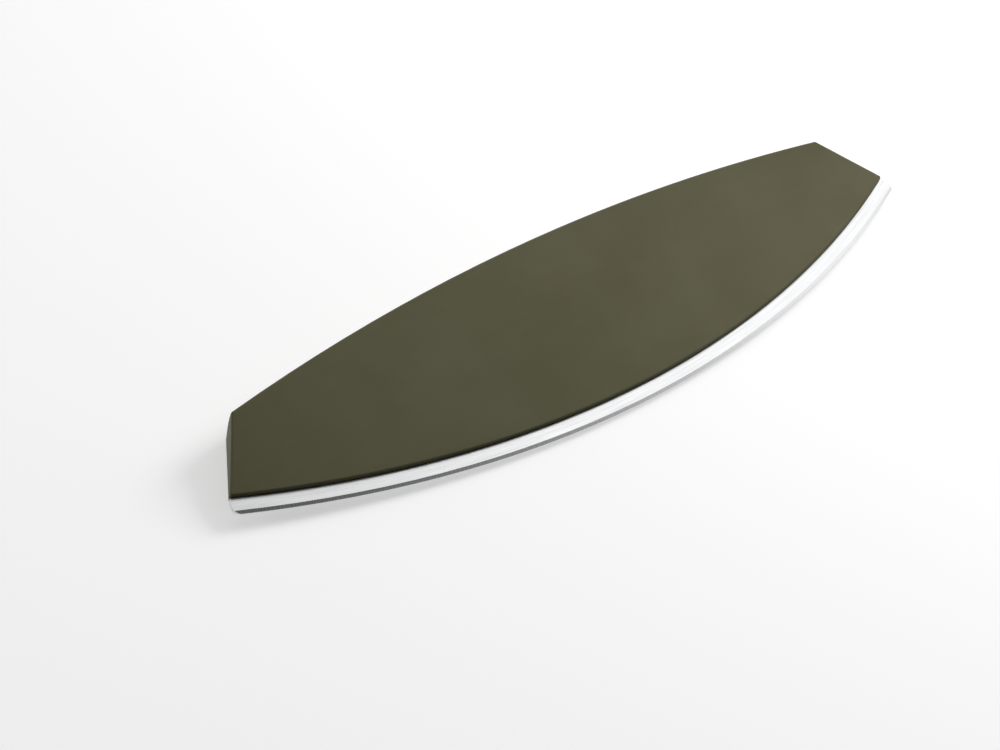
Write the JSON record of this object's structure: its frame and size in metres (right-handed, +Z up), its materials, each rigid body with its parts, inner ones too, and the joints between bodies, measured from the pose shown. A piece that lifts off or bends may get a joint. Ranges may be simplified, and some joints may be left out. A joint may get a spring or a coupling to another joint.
{
  "type": "rocking pizza knife",
  "caption": "Long rocking knife for pizza: a curved ground steel edge under a full-length wedge-shaped handle of matte moulded plastic.",
  "frame": {"origin": "centre of the bounding box, on the table that the knife lies on", "axes": "+X along the knife, +Y from the cutting edge towards the spine, +Z up from the table and out of the front shell"},
  "size_m": [0.3734, 0.0898, 0.0193],
  "materials": {
    "blade_steel": "satin, ground edge",
    "handle_plastic": "fine matte moulded, olive green",
    "pin_steel": "drawn wire"
  },
  "bodies": {
    "root": {"blade": "blade_steel", "front_shell": "handle_plastic", "rear_shell": "handle_plastic", "tang_pin_1": "pin_steel", "tang_pin_2": "pin_steel", "tang_pin_3": "pin_steel", "tang_pin_4": "pin_steel", "tang_pin_5": "pin_steel", "tang_pin_6": "pin_steel", "tang_pin_7": "pin_steel"}
  },
  "joints": []
}
